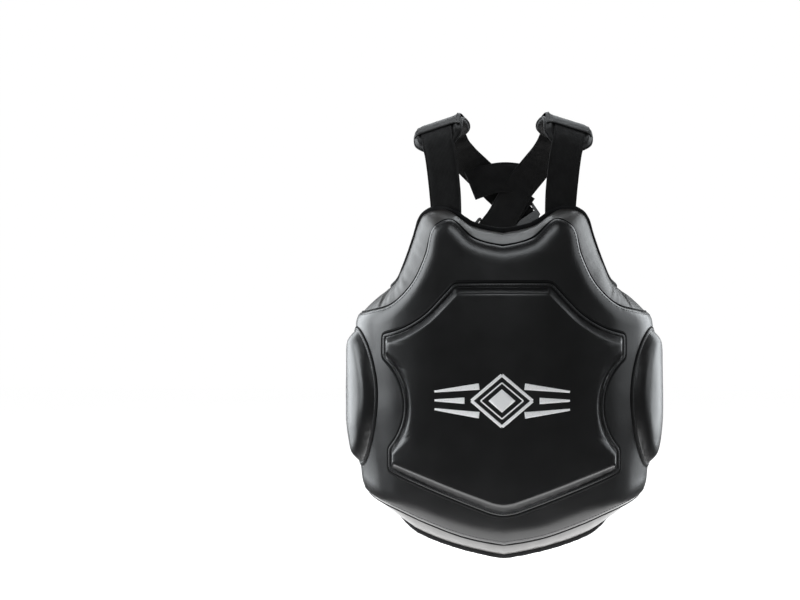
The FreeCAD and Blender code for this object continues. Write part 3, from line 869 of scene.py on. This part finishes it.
SHOULDER_TILT, SHOULDER_YAW, SHOULDER_R = math.radians(16), math.radians(12), 66.0
SHOULDER_AXIS = vec(math.cos(SHOULDER_YAW) * math.cos(SHOULDER_TILT),
                    math.sin(SHOULDER_YAW) * math.cos(SHOULDER_TILT), -math.sin(SHOULDER_TILT))
BACKWARD = vec(-math.sin(SHOULDER_YAW), math.cos(SHOULDER_YAW), 0)
OUTWARD = np.cross(SHOULDER_AXIS, BACKWARD)
SHOULDER_C = vec(98.5, 0, 466) - OUTWARD * SHOULDER_R
FOOT_TURN, FOOT_R = math.radians(19), FRONT_R - PAD_T - 3 - WEB_T / 2 - 1.5


def over_shoulder(degrees, radius=SHOULDER_R):
    a = math.radians(degrees)
    return SHOULDER_C + OUTWARD * (radius * math.cos(a)) + BACKWARD * (radius * math.sin(a))


def front_of_shoulder():
    """Left strap from its seam behind the front panel to the back of the shoulder."""
    across = vec(math.cos(FOOT_TURN), math.sin(FOOT_TURN), 0)
    foot = vec(FOOT_R * math.sin(FOOT_TURN), FRONT_CY - FOOT_R * math.cos(FOOT_TURN), 236)
    rise = [(foot, across), (foot + UP * 80, across), (vec(88.5, -74, 344), vec(1, 0.25, -0.05)),
            (vec(91, -73, 370), vec(1, 0.22, -0.15)), (vec(94, -71, 394), vec(1, 0.21, -0.25))]
    return rise + [(over_shoulder(a), SHOULDER_AXIS) for a in range(-80, 56, 5)]


def flip(stations):
    """The same route on the other side of the body."""
    return [(p * (-1, 1, 1), w * (-1, 1, 1)) for p, w in stations]


def turned(stations):
    """The same route with the webbing's width counted the other way."""
    return [(p, -w) for p, w in stations]


def spread(rows, counts):
    """Rows of a table interpolated in equal steps, so many to each span."""
    knots = np.concatenate([[0], np.cumsum(counts)])
    return rows_at(np.arange(knots[-1] + 1), knots, rows)


def trace(stations, step=3.5):
    """Centres, width directions, outward directions and distance along a strap."""
    points, widths = (np.array(part) for part in zip(*stations))
    counts = span_counts(points, step=step)
    centres = hermite(points, counts=counts)
    across = spread(widths, counts)
    ahead = np.gradient(centres, axis=0)
    ahead /= np.linalg.norm(ahead, axis=1)[:, None]
    across -= ahead * np.sum(across * ahead, axis=1)[:, None]
    across /= np.linalg.norm(across, axis=1)[:, None]
    return centres, across, np.cross(ahead, across), distances(centres)


def web_section():
    """Cross-section of a strap: rounded edges and a thin selvedge beside each."""
    w, t = WEB_W / 2, WEB_T / 2
    top = [(-w, 0), (-w + 0.3, 0.75 * t), (-w + 1.2, t), (-w + 2.4, t), (-w + 3.0, 0.72 * t), (-w + 3.6, t)]
    top += [(x * w, t) for x in (-0.6, -0.3, 0, 0.3, 0.6)]
    top += [(-x, y) for x, y in reversed(top[1:6])]
    return np.array(top + [(w, 0)] + [(x, -y) for x, y in reversed(top[1:])])


WEB_SECTION = web_section()


def web_band(name, rings, along):
    """Strap from its rings, with a woven cloth's coordinates in millimetres."""
    uv = np.stack(np.broadcast_arrays(WEB_SECTION[None, :, 0] + WEB_W / 2, along[:, None]), -1)
    return tube_band(name, rings, uv, closed=False)


def strap(name, stations, seed):
    """Strap along a route, with its edges a little wavy."""
    centres, across, out, along = trace(stations)
    waver = ripple(np.stack([along, np.zeros(len(along))], -1), seed, 60.0)[:, None] * 0.25
    v = WEB_SECTION[None, :, 0] * (1 + waver * 0.006)
    w = WEB_SECTION[None, :, 1] + waver * (WEB_SECTION[None, :, 0] / (WEB_W / 2)) ** 2 * 0.5
    rings = centres[:, None] + across[:, None] * v[..., None] + out[:, None] * w[..., None]
    return web_band(name, rings, along)


BOX_HALF_W = 19.0


def sewn_box(name, stations, start, end):
    """Stitched rectangle with a cross, on one face of a strap between two distances along it."""
    centres, across, out, along = trace(stations)
    a, b, c, d = [(-BOX_HALF_W, start), (BOX_HALF_W, start), (BOX_HALF_W, end), (-BOX_HALF_W, end)]
    rows = []
    for run in ((a, b), (b, c), (c, d), (d, a), (a, c), (b, d)):
        v, where = np.linspace(*run, 24).T
        up = rows_at(where, along, out)
        path = rows_at(where, along, centres) + rows_at(where, along, across) * v[:, None] + up * (WEB_T / 2)
        rows.append(stitch_row("row", path, up, 4.2, 3.0, 0.9, 0.5))
    return join(name, rows)


left_route = front_of_shoulder() + [
    (vec(72, 68, 426), vec(0.86, 0.2, -0.42)), (vec(50, 92, 400), vec(0.84, 0.1, -0.5)),
    (vec(26, 107, 371), vec(0.81, 0.03, -0.56)), (vec(8, 113, 341), vec(0.80, 0, -0.6))]
left_route += turned(ladder_loop("back_right")) + [
    (at("back_right", -66, 0, -2.8), across_of("back_right")),
    (at("back_right", -94, 0, -6.0), vec(-0.79, 0, 0.61)), (vec(32, 114.5, 369), vec(-0.79, 0, 0.61))]
folded_end = [(vec(38, 113.5, 386), vec(-0.32, 0, 0.95)), (vec(4, 108, 390), vec(-0.32, 0, 0.95)),
              (vec(-54, 93, 374.5), vec(-0.32, 0, 0.95))]
right_route = flip(front_of_shoulder()) + [
    (vec(-70, 72, 426), vec(-0.86, 0.2, -0.44)), (vec(-45, 105, 403), vec(-0.84, 0.1, -0.52)),
    (vec(-12, 121.5, 373), vec(-0.83, 0.03, -0.55))]
right_route += turned(ladder_loop("back_left")) + [
    (at("back_left", -62, 1, -0.2), vec(1, 0, 0.45)), (vec(19, 129.8, 370), vec(1, 0, 0.2)),
    (vec(21, 128.5, 408), vec(1, 0, 0.1))]

REST_Y = 63.6       # where a back strap lies on its anchor
WING_Y = 61.3       # where the waist strap lies on the wings


def back_strap_route(side, sign, across):
    """Lower back strap, from the plug's cut end to its anchor on the wing."""
    buckle = "back_" + side
    foot = [(vec(sign * 162, REST_Y + 9, 133), across), (vec(sign * 178, REST_Y + 1.5, 112), across),
            (vec(sign * 190, REST_Y, 96), across)]
    if across @ across_of(buckle) < 0:
        foot = turned(foot)
    return plug_loop(buckle) + [(at(buckle, 84, 0, -2.5), across_of(buckle))] + foot


def round_back(degrees):
    """Point of the waist strap's arc behind the back."""
    a = math.radians(degrees)
    return vec(WAIST_R * math.sin(a), WAIST_CY + WAIST_R * math.cos(a), 0)


waist_long = [(p, UP) for p, w in plug_loop("waist")] + [(round_back(a), UP) for a in (6, 14, 22, 29)]
waist_long += [(vec(163, WING_Y + 4.5, 0), UP), (vec(222, WING_Y, 0), UP)]
waist_short = [(vec(-222, WING_Y, 0), UP), (vec(-178, WING_Y, 0), UP), (vec(-158, WING_Y + 6.5, 0), UP)]
waist_short += [(p, UP) for p, w in ladder_loop("waist")]

# The waist strap's tail: each fold has two ends (u, v, depth behind, depth in front) and the
# direction in which it bulges.
FIRST_FOLD = ((-53, 25, -1.9, 1.3), (-87, -26, -9.6, -6.4), (-0.83, 0.56))
TOP_FOLD = ((-20.5, -43.5, -9.5, 12.5), (-86, -26, -16.5, 0.5), (-0.34, -0.94))
FOLD_FLATNESS = 0.5


def fold_line(fold, degrees):
    """Cross line of the webbing where it has turned this far, from 0 in front to 180 behind."""
    s, c = math.sin(math.radians(degrees)), math.cos(math.radians(degrees))
    ends = []
    for u, v, behind, front in fold[:2]:
        half = (front - behind) / 2
        lift = half * FOLD_FLATNESS * s
        ends.append((u + fold[2][0] * lift, v + fold[2][1] * lift, (front + behind) / 2 + half * c))
    return ends + [(fold[2][0] * s, fold[2][1] * s, c)]


def folded_tail():
    """Tail of the waist strap: forwards beside the socket, then over the strap and down behind."""
    lines = [[(-50, 25, -1.8), (-50, -25, -1.8), (0, 0, -1)]]
    lines += [fold_line(FIRST_FOLD, turn) for turn in (180, 150, 120, 90, 60, 30, 0)]
    lines.append([(-46.8, 10.3, 8.2), (-87, -26, -3), (0, 0, 1)])
    lines += [fold_line(TOP_FOLD, turn) for turn in range(0, 181, 20)]
    lines.append([(-1, -34.5, -9.3), (-58, -11.4, -10), (0, 0, -1)])
    lines.append([(76.4, 2.4, -12.4), (53.4, 46.8, -9.8), (0, 0, -1)])
    low, high, out = (np.array(part, float) for part in zip(*lines))
    counts = span_counts((low + high) / 2, step=3.0)
    low, high = hermite(low, counts=counts), hermite(high, counts=counts)
    out = spread(out, counts)
    out /= np.linalg.norm(out, axis=1)[:, None]
    share = (WEB_SECTION[:, 0] / WEB_W + 0.5)[None, :, None]
    local = low[:, None] * (1 - share) + high[:, None] * share + out[:, None] * WEB_SECTION[None, :, 1, None]
    origin, x, y, z = BUCKLES["waist"]
    return web_band("tail", origin + local @ np.stack([x, y, z]), distances((low + high) / 2))


def fixed_strap(piece, node):
    finish_piece(piece, WEBBING, "vest", node)


def following_strap(piece, node, fixed, moving):
    """Strap on no body, with its transform baked into its mesh."""
    finish_piece(piece, WEBBING, None, node)
    start, end = (tuple(float(c) * MM for c in point) for point in (fixed, moving))
    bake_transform(piece)


def box_at_end(name, route, far, near, body):
    """Box of stitches between two distances from a route's end."""
    total = trace(route)[3][-1]
    finish_piece(sewn_box(name, route, total - far, total - near), THREAD, body, slot="webbing")


def make_straps():
    """All webbing, with its boxes of stitches."""
    left = [strap("a", left_route, 2), strap("b", folded_end, 3)]
    fixed_strap(join("shoulder_strap_left_web", left), "shoulder_strap_left")
    fixed_strap(strap("shoulder_strap_right_web", right_route, 4), "shoulder_strap_right")
    short = [strap("a", waist_short, 5), folded_tail()]
    fixed_strap(join("waist_strap_short_web", short), "waist_strap_short")
    finish_piece(sewn_box("waist_short_stitches", waist_short, 6, 40), THREAD, "vest", slot="webbing")
    following_strap(strap("waist_strap_long_web", waist_long, 6), "waist_strap_long",
                    (160, 66, 0), at("waist", 78, 0, 0))
    box_at_end("waist_long_stitches", waist_long, 40, 6, "vest")
    for side, sign, across in (("left", 1, vec(0.83, 0, 0.55)), ("right", -1, vec(0.79, 0, -0.61))):
        web = strap("back_strap_%s_web" % side, back_strap_route(side, sign, across), 8 + sign)
        following_strap(web, "back_strap_" + side,
                        (sign * 165, 72, 130), at("back_" + side, 86, 0, 0))
    for name in BUCKLES:
        route = plug_loop(name) + [(at(name, 84, 0, -2.5), across_of(name))]
        box_at_end(name + "_loop_stitches", route, 26, 4, name + "_plug_half")


# ---- anchor patches
ANCHOR_X, ANCHOR_Y, ANCHOR_Z = 195, 60.3, 111
ANCHOR_W, ANCHOR_H, ANCHOR_HEM = 54, 50, 3.5


def make_anchor(word, sign):
    """Leather patch sewn over the wing's end, under the back strap."""
    centre = np.array((sign * ANCHOR_X, ANCHOR_Z), float)

    def outline(inset):
        w, h = ANCHOR_W / 2 - inset, ANCHOR_H / 2 - inset
        corners = centre + [(-w, -h), (-w, h), (w, h), (w, -h)]
        return soften(resample(corners, 2.5), 4)

    def place(x, z, y):
        return np.stack(np.broadcast_arrays(x, ANCHOR_Y + y, z), -1)

    def edge(d):
        return np.minimum(d / 1.2, 1) ** 0.5

    def outer(d, flat):
        return 1.0 + 0.95 * edge(d) - 0.3 * np.exp(-((d - ANCHOR_HEM) / 0.8) ** 2)

    def inner(d, flat):
        return 1.0 - edge(d)

    patch = pillow("strap_anchor_patch_" + word, outline(0), centre, place, outer, inner,
                   [0, 0.3, 0.8, 1.4, 2.2, 3, 3.6, 4.4, 6], 5)
    finish_piece(patch, PAD_LEATHER, "vest", "strap_anchor_" + word)
    path = place(*outline(ANCHOR_HEM).T, 1.75)
    sew("strap_anchor_stitches_" + word, path, np.broadcast_to(vec(0, 1, 0), path.shape), "pad_leather")


# ---- buckles
BUCKLE_BEVEL, LATCH_BEVEL = 0.5, 0.3


def bevelled_copy(node, name, width):
    """Mesh of a CAD part with its hard edges broken."""
    obj = new_object(name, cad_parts[node].data.copy())
    bm = bmesh.new()
    bm.from_mesh(obj.data)
    bmesh.ops.remove_doubles(bm, verts=bm.verts, dist=2e-6)
    bmesh.ops.dissolve_limit(bm, angle_limit=math.radians(1.0), verts=bm.verts, edges=bm.edges)
    for face in bm.faces:
        face.smooth = True
    bm.to_mesh(obj.data)
    bm.free()
    bevel = obj.modifiers.new("bevel", "BEVEL")
    bevel.width, bevel.segments, bevel.limit_method = width * MM, 2, "ANGLE"
    bevel.angle_limit = math.radians(28)
    obj.modifiers.new("normals", "WEIGHTED_NORMAL").keep_sharp = True
    return obj


def make_buckles():
    """Sockets, plugs and latch arms of the three buckles."""
    for name in BUCKLES:
        parts = [("_buckle_socket", "vest"), ("_buckle_plug", name + "_plug_half"),
                 ("_latch_arm_a", name + "_latch_a"), ("_latch_arm_b", name + "_latch_b")]
        for suffix, body in parts:
            bevel = LATCH_BEVEL if "latch" in suffix else BUCKLE_BEVEL
            piece = bevelled_copy(name + suffix, name + suffix + "_moulded", bevel)
            finish_piece(piece, PLASTIC, body, name + suffix)


# ---- shoulder pads
PAD_MID_R, PAD_HALF_T, PAD_ARC_R = 59.7, 4.9, 60.0


def on_shoulder(side):
    """Places (distance along the strap, distance outwards, radius) on a shoulder."""
    def place(t, v, radius):
        t, v, radius = np.broadcast_arrays(t, v, radius)
        a = (t / PAD_ARC_R)[..., None]
        points = SHOULDER_C + (OUTWARD * np.cos(a) + BACKWARD * np.sin(a)) * radius[..., None]
        points = points + SHOULDER_AXIS * v[..., None]
        return points * (side, 1, 1)
    return place


PAD_SIDE = [(-77, 22), (-72, 28), (-61, 38), (-48, 39), (24, 39), (38, 35), (46, 22)]
PAD_OUTLINE = [(-77, -22)] + PAD_SIDE + [(t, -v) for t, v in reversed(PAD_SIDE[1:])]
PAD_STEPS = [0, 0.3, 0.8, 1.5, 2.4, 3.5, 4.8, 6.2, 7.8, 9.6, 11.5, 13.5, 15.5, 18]


# Radius of the tunnel's outer side at distances from the strap's middle.
TUNNEL_REACH = [0, 26.6, 28, 30, 32.5, 35, 37, 38.2]
TUNNEL_TOP = [68.55, 68.5, 68.3, 67.7, 67.2, 66.2, 65.0, 64.0]
TUNNEL_HALF = [6, 12, 18, 24, 26.6, 28, 30, 32.5, 35, 37, 38.2]
TUNNEL_ACROSS = [-v for v in reversed(TUNNEL_HALF)] + [0] + TUNNEL_HALF
TUNNEL_TURNS = [-44, -43.6, -42.8, -41.5, -40, -38, -34, -29, -24, -18, -12, -6, 0, 6, 12, 17, 20, 22, 23.5,
                24.8, 25.6, 26]
TUNNEL_SKIN, TUNNEL_FLOOR, TUNNEL_SEAM, PIPING_R = 1.15, 63.2, 33.5, 1.5


def tunnel_ear(t, v):
    """Lift of the tunnel's inner edge where it stands up in an ear."""
    return 4.5 * smoothstep(25, 37, -v) * np.exp(-((t + 14) / 13) ** 2)


def make_shoulder_pad(word, side):
    """Saddle under the strap, its piping and the tunnel over the strap."""
    place = on_shoulder(side)
    body = "shoulder_pad_" + word
    loop = soften(resample(np.array(PAD_OUTLINE, float), 2.6), 6)

    def swell(d):
        return np.sqrt(np.maximum(1 - (1 - np.clip(d / 7.0, 0, 1)) ** 2, 0))

    def outer(d, flat):
        v = np.abs(flat[..., 1])
        lobe = 2.3 * np.exp(-((v - 31) / 3.6) ** 2) * smoothstep(2, 7, d)
        pucker = ripple(flat, 71, 9.0) * 0.35 * np.exp(-d / 7) * smoothstep(26, 28, v)
        return PAD_MID_R + PAD_HALF_T * swell(d) - 0.15 + lobe + pucker

    def inner(d, flat):
        return PAD_MID_R - PAD_HALF_T * swell(d) + ripple(flat, 72, 30.0) * 0.4 * smoothstep(2, 9, d)

    saddle = pillow("shoulder_pad_saddle_" + word, loop, (-14, 0), place, outer, inner, PAD_STEPS, 8)
    finish_piece(saddle, PAD_LEATHER, body,
                 "shoulder_pad_cover_" + word, "shoulder_pad_foam_" + word)

    around = full_turn(8)
    plane = loop[:, None] + outward_normals(loop)[:, None] * (np.cos(around) * PIPING_R + 0.5)[None, :, None]
    rings = place(plane[..., 0], plane[..., 1], PAD_MID_R + np.sin(around)[None] * PIPING_R)
    finish_piece(tube_band("shoulder_pad_piping_" + word, rings), PAD_LEATHER, body)
    make_tunnel(word, body, place)


def make_tunnel(word, body, place):
    """Leather band over the strap, sewn to the saddle along both sides."""
    t = np.array(TUNNEL_TURNS) * (PAD_ARC_R * math.pi / 180)
    along, across = np.meshgrid(t, TUNNEL_ACROSS, indexing="ij")
    shape = np.interp(np.abs(across), TUNNEL_REACH, TUNNEL_TOP)
    from_end = np.minimum(along - t[0], t[-1] - along)
    hem = 0.55 * smoothstep(0, 1.2, from_end) * (1 - smoothstep(4.2, 5.4, from_end))
    ear = tunnel_ear(along, across)
    front = shape + hem + ear + ripple(np.stack([along, across], -1), 73, 14.0) * 0.18
    back = np.maximum(shape - TUNNEL_SKIN, TUNNEL_FLOOR) + ear
    tunnel = sheet_solid("shoulder_pad_tunnel_" + word + "_band",
                         place(along, across, front), place(along, across, back))
    finish_piece(tunnel, PAD_LEATHER, body, "shoulder_pad_tunnel_" + word)
    rows = []
    along = np.linspace(t[1], t[-2], 40)
    for edge in (-TUNNEL_SEAM, TUNNEL_SEAM):
        height = np.interp(TUNNEL_SEAM, TUNNEL_REACH, TUNNEL_TOP) + tunnel_ear(along, edge) + 0.15
        path = place(along, edge, height)
        up = place(along, edge, height + 1) - path
        rows.append(stitch_row("row", path, up, 4.0, 2.8))
    finish_piece(join("shoulder_pad_stitches_" + word, rows), THREAD, body, slot="pad_leather")


make_emblem(shield_loop)
make_straps()
for word, side in (("left", 1), ("right", -1)):
    make_anchor(word, side)
    make_shoulder_pad(word, side)
make_buckles()


# ---- camera, light and stage
def look(obj, place, target):
    """Puts a lamp or camera in its place, pointing at a target."""
    obj.location = place
    obj.rotation_euler = (Vector(target) - Vector(place)).to_track_quat("-Z", "Y").to_euler()


COOL_WHITE = (0.93, 0.97, 1.0)
# Name, place, height aimed at, width, height and watts of each lamp.
LAMPS = [
    ("left_side", (-2.2, -0.15, 0.75), 0.15, 1.5, 1.5, 41),
    ("left_rear", (-1.8, 1.45, 0.6), 0.15, 1.5, 2.0, 36),
    ("right_side", (2.2, -0.15, 0.75), 0.15, 1.5, 1.5, 13),
    ("right_rear", (1.8, 1.45, 0.6), 0.15, 1.5, 2.0, 32),
    ("front", (0, -2.2, 1.3), 0.2, 1.4, 0.5, 15),
    ("top", (0, 0.7, 2.4), 0.3, 2.0, 1.2, 26),
    ("back", (0, 2.2, 1.7), 0.25, 1.8, 0.8, 18)]


def softbox(name, place, target, width, height, watts):
    data = bpy.data.lights.new(name, "AREA")
    data.shape, data.size, data.size_y, data.energy = "RECTANGLE", width, height, watts
    data.color = COOL_WHITE
    look(new_object(name, data), place, target)


def stage_piece(name, mesh, material):
    mesh.materials.append(material)
    obj = new_object(name, mesh)
    return obj


def stage_card(name, half, z, material):
    mesh = bpy.data.meshes.new(name)
    corners = [(-half, -half, z), (half, -half, z), (half, half, z), (-half, half, z)]
    mesh.from_pydata(corners, [], [(0, 1, 2, 3)])
    return stage_piece(name, mesh, material)


def unseen_by_light(obj):
    """Shows in the picture, but adds no light and no reflection."""
    obj.visible_diffuse = obj.visible_glossy = obj.visible_transmission = obj.visible_shadow = False


def glowing(name, grey, strength):
    return Finish(name, (grey,) * 3, 0.9, Emission_Color=(1, 1, 1, 1), Emission_Strength=strength)


def make_stage():
    """White floor and backdrop, a bright card under the piece, and the lamps."""
    floor_z = cad_box[0][2] - 0.03
    floor = glowing("pale_floor", 0.2, 0.97)
    floor.set("Base Color", floor.ramp(floor.noise(2.0), 0.18, 0.22))
    unseen_by_light(stage_card("stage_floor", 8.0, floor_z, floor.material))
    bounce = glowing("bounce_card", 0.2, 3.2)
    card = stage_card("stage_bounce", 0.34, floor_z + 0.002, bounce.material)
    card.visible_camera = card.visible_shadow = False
    mesh = bpy.data.meshes.new("stage_dome")
    bm = bmesh.new()
    bmesh.ops.create_uvsphere(bm, u_segments=48, v_segments=24, radius=9.0)
    bm.to_mesh(mesh)
    bm.free()
    unseen_by_light(stage_piece("stage_dome", mesh, glowing("white_backdrop", 0.0, 1.0).material))
    world = bpy.data.worlds.new("soft_room")
    world.use_nodes = True
    sky = world.node_tree.nodes["Background"].inputs
    sky["Color"].default_value = (1, 1, 1, 1)
    sky["Strength"].default_value = 0.10
    bpy.context.scene.world = world
    for name, place, aim, width, height, watts in LAMPS:
        softbox(name + "_softbox", place, (0, 0, aim), width, height, watts)
    bpy.context.scene.view_settings.view_transform = "Standard"


def make_camera():
    """Straight front view, with the piece to the right of the middle."""
    data = bpy.data.cameras.new("camera")
    data.lens = 68.4
    camera = new_object("camera", data)
    look(camera, (0, -2.4, 0.130), (-0.163, 0, 0.185))
    bpy.context.scene.camera = camera


make_stage()
make_camera()
